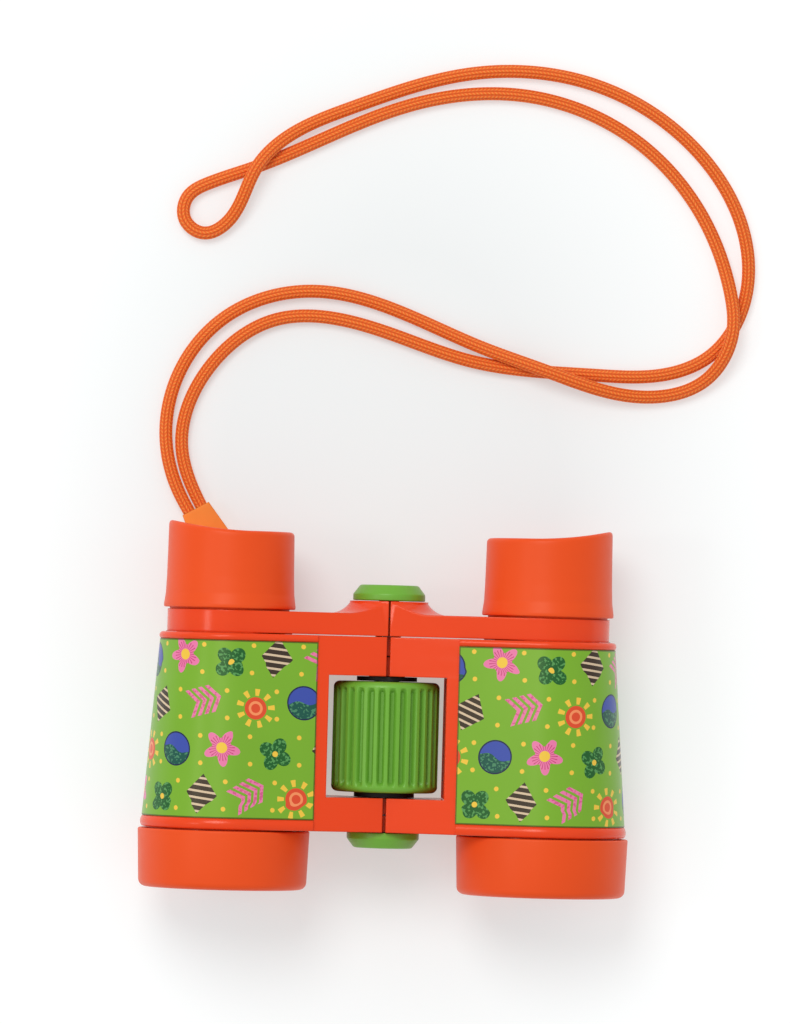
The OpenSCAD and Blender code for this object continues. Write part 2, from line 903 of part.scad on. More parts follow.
module rear_disc() {
  at_rear_end()
    end_disc();
}

module rear_disc_screw() {
  at_rear_end()
    end_disc_screw();
}

// Rubber tab: a stop and tongue in the left lug, a strap under the eyecup and a thick end for the cord
module cord_tab() {
  stop_y = -lug_len / 2 - slot_fit;
  strap_y = lug_len / 2 + slot_fit;
  shoulder_y = tab_reach - tab_taper_len;
  block_y = tab_reach - tab_end_len;
  block_w = tab_end_w + (tab_w - tab_end_w) * tab_end_len / tab_taper_len;
  pocket_w = cord_pitch + cord_d + 2 * pocket_fit;
  pocket_h = cord_d + 2 * pocket_fit;
  color(tab_colour)
    lug_place()
      difference() {
        union() {
          translate([-tongue_w / 2, stop_y - stop_len, tongue_floor])
            cube([tongue_w, stop_len + lug_len + 2 * slot_fit + overrun, tongue_t]);
          translate([-tongue_w / 2 - stop_lip, stop_y - stop_len, tab_floor])
            cube([tongue_w + 2 * stop_lip, stop_len, tab_t]);
          translate([0, 0, tab_floor])
            linear_extrude(height = tab_t)
              polygon([
                [-tab_w / 2, strap_y], [tab_w / 2, strap_y], [tab_w / 2, shoulder_y],
                [tab_end_w / 2, tab_reach], [-tab_end_w / 2, tab_reach], [-tab_w / 2, shoulder_y]
              ]);
          translate([0, 0, tab_end_floor])
            linear_extrude(height = tab_end_t)
              polygon([
                [-block_w / 2, block_y], [block_w / 2, block_y],
                [tab_end_w / 2, tab_reach], [-tab_end_w / 2, tab_reach]
              ]);
        }
        translate([-pocket_w / 2, tab_reach - cord_pocket_len, tab_end_floor + (tab_end_t - pocket_h) / 2])
          cube([pocket_w, cord_pocket_len + overrun, pocket_h]);
      }
}

function unit(v) = v / norm(v);

// Slope of the route p at point i that lets the curvature run on there, given the slopes m next to it
function eased_slope(p, m, i) =
  i == 0 || i == len(p) - 1 ? m[i] :
  let (before = p[i] - p[i - 1], after = p[i + 1] - p[i], a = norm(before), b = norm(after))
    (3 * (before * b / a + after * a / b) - m[i - 1] * b - m[i + 1] * a) / (2 * (a + b));

// All slopes of the route p, eased again and again until they hardly change
function eased_slopes(p, m, steps) =
  steps < 1 ? m : eased_slopes(p, [for (i = [0 : len(p) - 1]) eased_slope(p, m, i)], steps - 1);

function first_slopes(p) =
  let (last = len(p) - 1)
    [for (i = [0 : last]) unit(p[min(i + 1, last)] - p[max(i - 1, 0)])];

// Place and direction at a share t of the span from point i of the route p, with slopes m
function route_point(p, m, i, t) =
  let (span = norm(p[i + 1] - p[i]))
    p[i] * (2 * pow(t, 3) - 3 * pow(t, 2) + 1) + m[i] * span * (pow(t, 3) - 2 * pow(t, 2) + t)
    + p[i + 1] * (3 * pow(t, 2) - 2 * pow(t, 3)) + m[i + 1] * span * (pow(t, 3) - pow(t, 2));

function route_direction(p, m, i, t) =
  let (span = norm(p[i + 1] - p[i]))
    p[i] * (6 * pow(t, 2) - 6 * t) + m[i] * span * (3 * pow(t, 2) - 4 * t + 1)
    + p[i + 1] * (6 * t - 6 * pow(t, 2)) + m[i + 1] * span * (3 * pow(t, 2) - 2 * t);

function cord_ring(centre, direction) =
  let (forward = unit(direction), side = unit(cross(forward, [0, 0, 1])), up = cross(side, forward))
    [
      for (k = [0 : cord_sides - 1])
        let (a = 360 * (k + 0.5) / cord_sides)
          centre + cord_d / 2 * (side * cos(a) + up * sin(a))
    ];

module neck_cord() {
  route = CORD_ROUTE;
  slopes = eased_slopes(route, first_slopes(route), slope_steps);
  spans = len(route) - 1;
  stations = [
    for (i = [0 : spans - 1], k = [0 : cord_steps - 1]) [i, k / cord_steps],
    [spans - 1, 1]
  ];
  points = [
    for (s = stations)
      each cord_ring(route_point(route, slopes, s[0], s[1]), route_direction(route, slopes, s[0], s[1]))
  ];
  color(cord_colour)
    polyhedron(points = points, faces = tube_faces(len(stations), cord_sides));
}

barrel(LEFT);  // left_barrel
barrel(RIGHT);  // right_barrel
label(LEFT);  // left_label
label(RIGHT);  // right_label
objective_ring(LEFT);  // left_objective_ring
objective_ring(RIGHT);  // right_objective_ring
objective_lens(LEFT);  // left_objective_lens
objective_lens(RIGHT);  // right_objective_lens
eyepiece_arm(LEFT);  // left_eyepiece_arm
eyepiece_arm(RIGHT);  // right_eyepiece_arm
eyepiece_tube(LEFT);  // left_eyepiece_tube
eyepiece_tube(RIGHT);  // right_eyepiece_tube
eyecup(LEFT);  // left_eyecup
eyecup(RIGHT);  // right_eyecup
eye_lens(LEFT);  // left_eye_lens
eye_lens(RIGHT);  // right_eye_lens
eye_lens_ring(LEFT);  // left_eye_lens_ring
eye_lens_ring(RIGHT);  // right_eye_lens_ring
hinge_pin();
hinge_bush();
front_washer();
rear_washer();
focus_wheel();
focus_nut();
focus_screw();
rear_disc();
rear_disc_screw();
rear_cap();
front_disc();
front_disc_screw();
front_cap();
cord_tab();
neck_cord();
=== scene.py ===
"""Toy binoculars: the looks of a child's red-orange and green binoculars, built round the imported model."""

import math

import bmesh
import bpy
import numpy as np
from bpy.props import FloatProperty, FloatVectorProperty, IntProperty, PointerProperty
from bpy.types import Operator, Panel, PropertyGroup
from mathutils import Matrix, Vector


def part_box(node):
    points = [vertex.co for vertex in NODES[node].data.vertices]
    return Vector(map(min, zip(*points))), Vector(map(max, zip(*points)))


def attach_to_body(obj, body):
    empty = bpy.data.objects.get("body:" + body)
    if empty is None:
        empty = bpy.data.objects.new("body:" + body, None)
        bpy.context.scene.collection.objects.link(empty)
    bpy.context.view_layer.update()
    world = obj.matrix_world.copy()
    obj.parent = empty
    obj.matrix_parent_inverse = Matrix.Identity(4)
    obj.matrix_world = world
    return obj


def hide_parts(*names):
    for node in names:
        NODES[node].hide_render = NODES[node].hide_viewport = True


bl_info = {
    "name": "Toy binoculars",
    "version": (1, 0, 0),
    "blender": (4, 5, 0),
    "location": "View3D > Sidebar > Binoculars",
    "description": "Dresses the packed toy binoculars: cord, labels, rings, eyecups, wheel, caps and stage",
    "category": "Object",
}

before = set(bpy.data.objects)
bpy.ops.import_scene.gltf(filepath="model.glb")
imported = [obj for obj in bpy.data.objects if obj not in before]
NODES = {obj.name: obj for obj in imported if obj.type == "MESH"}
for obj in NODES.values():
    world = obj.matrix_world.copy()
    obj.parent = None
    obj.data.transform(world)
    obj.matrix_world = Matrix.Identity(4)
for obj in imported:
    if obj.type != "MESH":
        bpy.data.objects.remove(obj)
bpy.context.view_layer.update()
MM = 0.001
SIDES = ("left", "right")
OUTWARD = {"left": -1.0, "right": 1.0}
# Steps round a large and a small turned piece
LARGE_TURN, SMALL_TURN = 144, 96
# Length that one unit of a piece's own map stands for
MAP_UNIT = 100 * MM
# Points closer than this are one point, and edges that turn more than this stay sharp
MERGE_DISTANCE, SHARP_DEGREES = 0.002 * MM, 40


def node_span(node, axis):
    """Lowest and highest coordinate of a CAD node along one axis, in metres."""
    low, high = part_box(node)
    return low[axis], high[axis]


def node_middle(node, axis):
    """Middle of a CAD node along one axis, in metres."""
    return sum(node_span(node, axis)) / 2


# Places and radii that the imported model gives
AXIS_X = {side: node_middle(f"{side}_objective_ring", 0) for side in SIDES}
AXIS_Z = node_middle("left_objective_ring", 2)
RING_FRONT, RING_REAR = node_span("left_objective_ring", 1)
RING_R = node_span("left_objective_ring", 2)[1] - AXIS_Z
BODY_REAR = node_span("left_barrel", 1)[1]
CUP_FRONT = node_span("left_eyecup", 1)[0]
CUP_BASE_R = node_span("left_eyecup", 2)[1] - AXIS_Z
WHEEL_FRONT, WHEEL_REAR = node_span("focus_wheel", 1)
WHEEL_R = node_span("focus_wheel", 2)[1] - AXIS_Z
WINDOW_FRONT, WINDOW_REAR = node_span("front_washer", 1)[0], node_span("rear_washer", 1)[1]
CAP_R = node_span("rear_cap", 2)[1] - AXIS_Z
LABEL_FRONT, LABEL_REAR = node_span("left_label", 1)
LABEL_INNER_X = -node_span("left_label", 0)[1]
TUBE_R = node_span("left_eyepiece_tube", 2)[1] - AXIS_Z
ARM_FRONT = node_span("left_eyepiece_arm", 1)[0]
# Sizes of the part's source that no node's box shows
BODY_FRONT_R, BODY_REAR_R = 19.35 * MM, 15.8 * MM
KNUCKLE_R = 9.26 * MM
RING_GAP = 0.4 * MM
WINDOW_SIDE_GAP = 1.3 * MM
BODY_FRONT = RING_REAR + RING_GAP
# The window's side with a hair's breadth added, so that its walls lie inside
WINDOW_HALF = WHEEL_R + WINDOW_SIDE_GAP + 0.1 * MM

# The cord's route as in the part's source, in millimetres: out of the tab, round the loop and back into it
CORD_ROUTE = (
    (-46.6, 43.3, 2.3), (-50, 49.2, 2), (-53.8, 62.2, 1.75), (-51, 78.7, 1.75), (-39.5, 92.7, 1.75),
    (-21, 98.7, 1.9), (20.5, 86.5, 2.8), (36, 81.2, 5.2), (60, 75.7, 2.2), (74.5, 80.2, 2.8),
    (80.4, 91.7, 5.3), (79.8, 100.7, 3.4), (73.5, 117.7, 1.75), (56.5, 136.7, 1.75), (30.5, 146.7, 1.75),
    (2, 143.7, 1.75), (-35, 127.7, 1.75), (-45.6, 123.7, 1.75), (-50.2, 120.5, 1.75), (-50.8, 115.1, 1.75),
    (-46.3, 111.9, 1.8), (-41, 114.3, 2.3), (-34.3, 127.2, 5.2), (-27, 135.2, 3.4), (-12, 142.7, 1.75),
    (16.5, 151.7, 1.75), (45, 150.2, 1.75), (69, 136.7, 1.75), (83, 114.2, 1.75), (83, 98.2, 1.75),
    (75, 85.7, 1.75), (64, 81.1, 1.75), (48, 80.6, 1.75), (18, 83.2, 1.75), (-10.5, 91.7, 1.75),
    (-28.5, 91.7, 1.75), (-43, 81.2, 1.75), (-50, 60.7, 1.75), (-47, 50.7, 2), (-43.9, 44.8, 2.3),
)
SLOPE_STEPS = 12


def srgb(*channels):
    """Linear colour of three screen values from 0 to 255."""
    return tuple(c / 255 / 12.92 if c < 10.4 else ((c / 255 + 0.055) / 1.055) ** 2.4 for c in channels)


def length(title, text, default, high):
    """A size in metres that the panel offers."""
    return FloatProperty(
        name=title, description=text, default=default, min=0.0, max=high, unit="LENGTH", precision=5
    )


def count(title, text, default, low, high):
    """A whole number that the panel offers."""
    return IntProperty(name=title, description=text, default=default, min=low, max=high)


def colour(title, text, *screen):
    """A colour that the panel offers, from screen values."""
    return FloatVectorProperty(
        name=title, description=text, default=srgb(*screen), size=3, min=0.0, max=1.0, subtype="COLOR"
    )


class BinocularSizes(PropertyGroup):
    """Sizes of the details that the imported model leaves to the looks."""

    cord_d: length("Cord diameter", "Diameter of the neck cord over its braid", 0.0032, 0.006)
    braid_relief: length("Braid relief", "Depth between the braid's columns", 0.00014, 0.0003)
    braid_stitch: length("Braid stitch", "Length of one stitch of the braid", 0.0009, 0.003)
    braid_columns: count("Columns", "Columns of stitches round the cord", 10, 4, 16)
    edge_round: length("Edge rounding", "Rounding of the moulded edges", 0.0005, 0.0015)
    groove_depth: length("Groove depth", "Depth of the wheel's grooves", 0.0011, 0.0015)
    groove_count: count("Grooves", "Grooves round the wheel", 30, 16, 48)
    groove_length: length("Groove length", "Length of the wheel's grooves", 0.023, 0.0245)
    motif_cell: length("Motif spacing", "Spacing of the motifs on the labels", 0.0118, 0.03)
    motif_size: FloatProperty(
        name="Motif size", description="Scale of the motifs on the labels", default=1.34, min=0.5, max=2.0
    )
    bead_proud: length("Bead height", "Height of the beads before and behind the labels", 0.0005, 0.001)
    # Width of the painted shade line round the labels
    label_edge_shade: length("Label edge", "Width of the dark line round the labels", 0.0003, 0.001)


class BinocularColours(PropertyGroup):
    """Colours of the plastics, the label and the cord."""

    body: colour("Body", "Glossy moulding of the barrels and arms", 239, 70, 26)
    soft: colour("Soft plastic", "Matt eyecups and objective rings", 240, 81, 27)
    green: colour("Green plastic", "Wheel and end caps", 111, 176, 55)
    ground: colour("Label ground", "Ground of the printed labels", 123, 177, 50)
    tab: colour("Tab", "Rubber tab of the cord", 253, 138, 30)
    cord: colour("Cord", "Braid of the neck cord", 242, 99, 20)
    # Painted highlight colour for the crowns of the cord's stitches
    crown_highlight: colour("Cord crown highlight", "Painted highlight on the crowns of the braid's stitches", 255, 172, 76)
    floor: colour("Floor", "Pale floor under the object", 184, 188, 188)
    glow: colour("Floor glow", "Light that the floor gives off by itself", 169, 169, 169)


# Shader maths


class Value:
    """A shader socket; arithmetic on it adds Math nodes to its material."""

    def __init__(self, shader, socket):
        self.shader, self.socket = shader, socket

    def math(self, operation, *others):
        """A Math node's result on this value and the others."""
        inputs = dict(enumerate((self, *others)))
        return self.shader.value(self.shader.node("ShaderNodeMath", {"operation": operation}, inputs))

    def __add__(self, other):
        return self.math("ADD", other)

    def __sub__(self, other):
        return self.math("SUBTRACT", other)

    def __rsub__(self, other):
        return (self * -1.0).math("ADD", other)

    def __mul__(self, other):
        return self.math("MULTIPLY", other)

    def __truediv__(self, other):
        return self.math("DIVIDE", other)

    def __lt__(self, other):
        return self.math("LESS_THAN", other)

    def __gt__(self, other):
        return self.math("GREATER_THAN", other)

    def __mod__(self, other):
        return self.math("FLOORED_MODULO", other)

    def __abs__(self):
        return self.math("ABSOLUTE")

    __radd__ = __add__
    __rmul__ = __mul__


class Shader:
    """A new material with one surface shader, and what adds nodes to it."""

    def __init__(self, name):
        self.material = bpy.data.materials.new(name)
        self.material.use_nodes = True
        self.tree = self.material.node_tree
        self.surface = self.tree.nodes["Principled BSDF"]

    def node(self, kind, settings=None, inputs=None):
        """Adds a node: its settings first, then the values or links of its sockets."""
        made = self.tree.nodes.new(kind)
        for key, value in (settings or {}).items():
            setattr(made, key, value)
        self.feed(made, inputs or {})
        return made

    def feed(self, node, inputs):
        """Links or sets a node's sockets; a colour of three numbers becomes opaque."""
        for key, value in inputs.items():
            if isinstance(value, Value):
                self.tree.links.new(value.socket, node.inputs[key])
            elif node.inputs[key].type == "RGBA" and len(value) == 3:
                node.inputs[key].default_value = (*value, 1.0)
            else:
                node.inputs[key].default_value = value

    def value(self, node, output=0):
        """One of a node's outputs, ready for arithmetic."""
        return Value(self, node.outputs[output])

    def parts(self, vector):
        """The three numbers of a vector."""
        split = self.node("ShaderNodeSeparateXYZ", None, {0: vector})
        return [self.value(split, i) for i in range(3)]

    def place(self):
        """Object coordinates in metres."""
        return self.value(self.node("ShaderNodeTexCoord"), "Object")

    def map_mm(self, name):
        """One of the piece's own maps as two values in millimetres; a piece without it gives zeros."""
        u, v, _ = self.parts(self.value(self.node("ShaderNodeUVMap", {"uv_map": name}), "UV"))
        return u / (MM / MAP_UNIT), v / (MM / MAP_UNIT)

    def noise(self, scale, detail=3.0):
        """Soft noise from 0 to 1 with features about 1 / scale metres across."""
        inputs = {"Vector": self.place(), "Scale": scale, "Detail": detail}
        return self.value(self.node("ShaderNodeTexNoise", None, inputs), "Fac")

    def mix(self, factor, one, two):
        """The first colour where the factor is 0, the second where it is 1."""
        made = self.node("ShaderNodeMix", {"data_type": "RGBA"}, {"Factor": factor, 6: one, 7: two})
        return self.value(made, 2)

    def bump(self, height, depth, strength=1.0, normal=None):
        """Normal of a relief whose height from 0 to 1 stands for a depth in metres."""
        inputs = {"Height": height, "Distance": depth, "Strength": strength}
        if normal is not None:
            inputs["Normal"] = normal
        return self.value(self.node("ShaderNodeBump", None, inputs), "Normal")

    def round_edges(self, radius):
        """Normal that is turned round over the edges, as on a moulding."""
        return self.value(self.node("ShaderNodeBevel", {"samples": 6}, {"Radius": radius}), "Normal")

    def finish(self, **sockets):
        """Sets the surface shader's sockets, named with underscores, and returns the material."""
        self.feed(self.surface, {key.replace("_", " "): value for key, value in sockets.items()})
        return self.material


def tinted(shader, base, other, scale, amount):
    """A colour that drifts a little towards another one over the surface."""
    return shader.mix(shader.noise(scale) * amount, base, other)


def scaled_colour(shade, factor):
    """A lighter or darker colour, never over 1."""
    return tuple(min(1.0, c * factor) for c in shade)


# Surfaces


def grid_faces(rows, columns, wrap_rows=False, wrap_columns=False):
    """Quads between neighbours of a grid of points; a wrapped side joins its last line to its first."""
    i, j = np.meshgrid(
        np.arange(rows - (not wrap_rows)), np.arange(columns - (not wrap_columns)), indexing="ij"
    )
    i, j = i.ravel(), j.ravel()
    below, beside = (i + 1) % rows, (j + 1) % columns
    here, under = i * columns, below * columns
    return np.stack([here + j, here + beside, under + beside, under + j], 1)


def new_piece(name, points, faces, material, **maps):
    """A closed mesh piece at the origin: doubles merged, normals outwards, smooth but for sharp edges.

    Each map holds one pair of coordinates for each corner of each face, in the faces' order.
    """
    mesh = bpy.data.meshes.new(name)
    mesh.from_pydata(np.reshape(points, (-1, 3)).tolist(), [], list(faces))
    for map_name, pairs in maps.items():
        layer = mesh.uv_layers.new(name=map_name)
        layer.uv.foreach_set("vector", np.asarray(pairs, np.float32).ravel())
    work = bmesh.new()
    work.from_mesh(mesh)
    bmesh.ops.remove_doubles(work, verts=work.verts, dist=MERGE_DISTANCE)
    bmesh.ops.recalc_face_normals(work, faces=work.faces)
    work.to_mesh(mesh)
    work.free()
    mesh.shade_smooth()
    mesh.set_sharp_from_angle(angle=math.radians(SHARP_DEGREES))
    mesh.materials.append(material)
    piece = bpy.data.objects.new(name, mesh)
    bpy.context.scene.collection.objects.link(piece)
    return piece


def attach(piece, body, slot, *nodes):
    """The piece moves with a body and stands for these CAD nodes, which it hides; the slot is not used."""
    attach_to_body(piece, body)
    if nodes:
        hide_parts(*nodes)


def rounded(corners):
    """A closed outline from corners (r, d, rounding): each corner becomes an arc that meets both sides."""
    arc_steps = 6
    rows = np.array(corners, float)
    points = rows[:, :2]
    outline = []
    for k, (corner, radius) in enumerate(zip(points, rows[:, 2])):
        back, ahead = points[k - 1] - corner, points[(k + 1) % len(points)] - corner
        room = 0.49 * min(np.linalg.norm(back), np.linalg.norm(ahead))
        back, ahead = back / np.linalg.norm(back), ahead / np.linalg.norm(ahead)
        half = math.acos(np.clip(back @ ahead, -1, 1)) / 2
        if radius <= 0 or half > math.pi / 2 - 0.01:
            outline.append(corner[None])
            continue
        reach = min(radius / math.tan(half), room)
        centre = corner + (back + ahead) / np.linalg.norm(back + ahead) * reach / math.cos(half)
        start, stop = corner + back * reach - centre, corner + ahead * reach - centre
        turn = math.atan2(start[0] * stop[1] - start[1] * stop[0], start @ stop)
        angle = np.linspace(0, turn, arc_steps + 1)[:, None]
        side = np.array([-start[1], start[0]])
        outline.append(centre + start * np.cos(angle) + side * np.sin(angle))
    return np.concatenate(outline)


def filled_in(outline, step):
    """The closed outline with points added so that none of its sides is longer than step."""
    ahead = np.roll(outline, -1, axis=0)
    parts = np.ceil(np.linalg.norm(ahead - outline, axis=1) / step).astype(int)
    return np.concatenate(
        [a + (b - a) * np.arange(max(n, 1))[:, None] / max(n, 1) for a, b, n in zip(outline, ahead, parts)]
    )


def revolved(outline, x, turns):
    """Points of an outline (r, y) carried round a barrel's axis: x + r cos a, y, z + r sin a."""
    angle = np.linspace(0, 2 * math.pi, turns, endpoint=False)
    r, y = outline[:, :1], outline[:, 1:2]
    return np.stack([x + r * np.cos(angle), y + 0 * angle, AXIS_Z + r * np.sin(angle)], -1)


def turned(name, outline, x, turns, material):
    """A piece turned about a barrel's axis or the hinge from a closed outline (r, y)."""
    faces = grid_faces(len(outline), turns, True, True)
    return new_piece(name, revolved(outline, x, turns), faces, material)


def smoothed(t):
    """Smooth step: 3 t squared less 2 t cubed, level before 0 and after 1."""
    t = np.clip(t, 0, 1)
    return t * t * (3 - 2 * t)


# The neck cord


def cord_path(route, steps):
    """Smooth line through the route: cubic spans whose slopes are eased until the curvature runs on."""
    spots = np.array(route, float) * MM
    ahead = np.diff(spots, axis=0)
    span = np.linalg.norm(ahead, axis=1, keepdims=True)
    slope = np.concatenate([ahead[:1] / span[:1], spots[2:] - spots[:-2], ahead[-1:] / span[-1:]])
    slope = slope / np.linalg.norm(slope, axis=1, keepdims=True)
    a, b = span[:-1], span[1:]
    drive = 3 * (ahead[:-1] * b / a + ahead[1:] * a / b)
    for _ in range(SLOPE_STEPS):
        slope[1:-1] = (drive - slope[:-2] * b - slope[2:] * a) / (2 * (a + b))
    t = np.linspace(0, 1, steps, endpoint=False)[None, :, None]
    p0, p1 = spots[:-1, None], spots[1:, None]
    m0, m1 = (slope[:-1] * span)[:, None], (slope[1:] * span)[:, None]
    line = (
        p0 * (2 * t**3 - 3 * t**2 + 1) + m0 * (t**3 - 2 * t**2 + t)
        + p1 * (3 * t**2 - 2 * t**3) + m1 * (t**3 - t**2)
    )
    return np.concatenate([line.reshape(-1, 3), spots[-1:]])


def evenly_spaced(line, step):
    """The line again with points a fixed step apart, and its length up to each of them."""
    run = np.concatenate([[0], np.cumsum(np.linalg.norm(np.diff(line, axis=0), axis=1))])
    even = np.linspace(0, run[-1], int(round(run[-1] / step)) + 1)
    return np.stack([np.interp(even, run, line[:, k]) for k in range(3)], 1), even


def column_height(share, columns):
    """Relief of the braid from 0 to 1 at a share of the way round: one rounded swell for each column."""
    return np.abs(np.sin(math.pi * columns * share)) ** 0.6


def braid_material(sizes, colours):
    """Braided cord: columns of slanted stitches that lean to and fro, with painted shade between the columns
    and a painted highlight, varied at random, on the stitches' crowns.

    Its map holds the share of the way round, one turn as one millimetre, and the run along the cord.
    """
    s = Shader("cord_stitches")
    around, along = s.map_mm("wrap")
    column = around * float(sizes.braid_columns)
    number = column.math("FLOOR")
    across = column - number - 0.5
    lean = 1.0 - (number % 2.0) * 2.0
    swell = (across * math.pi).math("COSINE")
    stitch = (along / (sizes.braid_stitch / MM) + across * lean * 0.9) * (2 * math.pi)
    crown = (0.5 + stitch.math("COSINE") * 0.5) * swell
    fibre = s.noise(2600.0, 2.0)
    # Painted shade: the cord darkens towards half its colour in the creases between the braid's columns
    shade = s.mix((1.0 - swell) * 0.6, colours.cord, scaled_colour(colours.cord, 0.5))
    # Painted highlight: the stitches' crowns lighten towards the highlight colour, varied at random by the
    # fibre noise
    shade = s.mix(crown * crown * (0.34 + fibre * 0.6), shade, colours.crown_highlight)
    return s.finish(
        Base_Color=shade,
        Roughness=0.5 + fibre * 0.2,
        Normal=s.bump(crown + fibre * 0.25, 0.00011, 0.8),
        Specular_IOR_Level=0.35,
    )


class BINOCULARS_OT_neck_cord(Operator):
    """Braided neck cord in a loop behind the binoculars: a ring of swells carried along its path"""

    bl_idname = "binoculars.neck_cord"
    bl_label = "Neck cord"
    # How much thinner the cord is inside the tab, and over which length it widens
    squeezed, squeezed_length = 0.06, 12 * MM
    span_steps, ring_step, sides_per_column = 40, 0.6 * MM, 6
    told_step = 3

    def execute(self, context):
        sizes, colours = context.scene.binocular_sizes, context.scene.binocular_colours
        path, run = evenly_spaced(cord_path(CORD_ROUTE, self.span_steps), self.ring_step)
        forward = np.gradient(path, axis=0)
        forward /= np.linalg.norm(forward, axis=1, keepdims=True)
        side = np.cross(forward, (0, 0, 1))
        side /= np.linalg.norm(side, axis=1, keepdims=True)
        up = np.cross(side, forward)
        sides = self.sides_per_column * sizes.braid_columns
        share = np.arange(sides) / sides
        angle = 2 * math.pi * share[None, :, None]
        relief = column_height(share, sizes.braid_columns)
        from_end = np.minimum(run, run[-1] - run)[:, None]
        squeeze = 1 - self.squeezed * (1 - smoothed(from_end / self.squeezed_length))
        radius = squeeze * (sizes.cord_d / 2 - sizes.braid_relief * (1 - relief))
        spoke = side[:, None] * np.cos(angle) + up[:, None] * np.sin(angle)
        points = path[:, None] + radius[..., None] * spoke
        points[..., 2] = np.maximum(points[..., 2], 0)
        faces = grid_faces(len(path), sides, wrap_columns=True)
        i, j = faces[:, 0] // sides, faces[:, 0] % sides
        u = np.stack([j, j + 1, j + 1, j], 1) / sides
        v = run[np.stack([i, i, i + 1, i + 1], 1)] / MAP_UNIT
        corners = np.stack([u * MM / MAP_UNIT, v], -1).reshape(-1, 2)
        ends = [np.arange(sides)[::-1], np.arange(sides) + (len(path) - 1) * sides]
        flat = np.zeros((2 * sides, 2))
        piece = new_piece(
            "neck_cord_braid", points, faces.tolist() + [e.tolist() for e in ends],
            braid_material(sizes, colours), wrap=np.concatenate([corners, flat]),
        )
        attach(piece, "left_half", "cord_braid", "neck_cord")
        return {"FINISHED"}


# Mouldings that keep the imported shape


def gloss_material(colours, edge):
    """Glossy red-orange moulding: faint flow of colour, rounded edges, matt walls in the wheel's window."""
    s = Shader("body_gloss")
    x, y, _ = s.parts(s.place())
    in_window = (abs(x) < WINDOW_HALF) * (y > WINDOW_FRONT) * (y < WINDOW_REAR)
    shade = tinted(s, colours.body, scaled_colour(colours.body, 0.88), 45.0, 0.5)
    return s.finish(
        Base_Color=shade,
        Roughness=0.19 + s.noise(500.0) * 0.07 + in_window * 0.7,
        Normal=s.round_edges(edge),
        Specular_IOR_Level=0.32,
        Specular_Tint=(1.0, 0.85, 0.75, 1.0),
    )


def plain_material(name, shade, roughness, metallic=0.0, edge=0.2 * MM):
    """A plain finish with a fine grain, slight drifts of colour and softened edges."""
    s = Shader(name)
    fine = s.noise(1500.0)
    return s.finish(
        Base_Color=tinted(s, shade, scaled_colour(shade, 0.75), 220.0, 0.6),
        Roughness=roughness + fine * 0.12,
        Metallic=metallic,
        Normal=s.bump(fine, 0.00002, 0.35, s.round_edges(edge)),
    )


def dress(node, material):
    """A CAD node that keeps its shape gets a material."""
    NODES[node].data.materials.clear()
    NODES[node].data.materials.append(material)


def merged_copy(node, name, material):
    """A new piece with a CAD node's own shape, its loose triangles joined so that it shades smoothly."""
    mesh = NODES[node].data
    points = np.empty(3 * len(mesh.vertices), np.float32)
    mesh.vertices.foreach_get("co", points)
    corners = np.empty(len(mesh.loops), np.int32)
    mesh.loops.foreach_get("vertex_index", corners)
    return new_piece(name, points, corners.reshape(-1, 3), material)


class BINOCULARS_OT_mouldings(Operator):
    """Glossy barrels and eyepiece arms, with the beads round the labels and the arms' feet"""

    bl_idname = "binoculars.mouldings"
    bl_label = "Barrels and arms"
    # A bead rises by a power of the sine of the share of its width, and its root lies inside the barrel
    bead_rows, bead_root, bead_power = 15, -0.4 * MM, 0.7
    foot_r, foot_gap = 14.9 * MM, 0.03 * MM

    def execute(self, context):
        sizes, colours = context.scene.binocular_sizes, context.scene.binocular_colours
        material = gloss_material(colours, sizes.edge_round)
        share = np.linspace(0, 1, self.bead_rows)
        rise = sizes.bead_proud * np.sin(math.pi * share) ** self.bead_power
        foot_front = BODY_REAR + self.foot_gap
        foot_outline = np.array([
            (TUBE_R, foot_front), (self.foot_r, foot_front), (self.foot_r, ARM_FRONT), (TUBE_R, ARM_FRONT),
        ])
        for side in SIDES:
            for node, body in (("barrel", "half"), ("eyepiece_arm", "eyepiece")):
                name = f"{side}_{node}"
                moulding = merged_copy(name, f"{name}_moulding", material)
                attach(moulding, f"{side}_{body}", "body_plastic", name)
            for end, front, rear in (("front", BODY_FRONT, LABEL_FRONT), ("rear", LABEL_REAR, BODY_REAR)):
                y = front + (rear - front) * share
                points, faces, _ = wrapped_film(side, y, rise, self.bead_root)
                bead = new_piece(f"{side}_{end}_bead", points, faces, material)
                attach(bead, f"{side}_half", "body_plastic")
            foot = turned(f"{side}_arm_foot", foot_outline, AXIS_X[side], SMALL_TURN, material)
            attach(foot, f"{side}_eyepiece", "body_plastic")
        return {"FINISHED"}


class BINOCULARS_OT_inner_pieces(Operator):
    """Lenses, eyepiece tubes, washers, hinge and screws"""

    bl_idname = "binoculars.inner_pieces"
    bl_label = "Lenses and inner pieces"

    def execute(self, context):
        dark = plain_material("dark_plastic", srgb(30, 30, 32), 0.5)
        steel = plain_material("plain_steel", srgb(190, 190, 194), 0.28, 1.0)
        glass = Shader("lens_glass").finish(
            Base_Color=(0.93, 0.97, 0.98, 1.0), Roughness=0.02, IOR=1.5, Transmission_Weight=1.0,
            Coat_Weight=0.4, Coat_Roughness=0.03,
        )
        for side in SIDES:
            for node, body in (("objective_lens", "half"), ("eye_lens", "eyepiece")):
                name = f"{side}_{node}"
                attach(merged_copy(name, f"{name}_glass", glass), f"{side}_{body}", "lens", name)
            dress(f"{side}_eyepiece_tube", dark)
            dress(f"{side}_eye_lens_ring", dark)
        for node in ("hinge_bush", "front_washer", "rear_washer", "focus_nut"):
            dress(node, dark)
        for node in ("hinge_pin", "focus_screw"):
            dress(node, steel)
        for end in ("rear", "front"):
            dress(f"{end}_disc", steel)
            dress(f"{end}_disc_screw", steel)
        return {"FINISHED"}


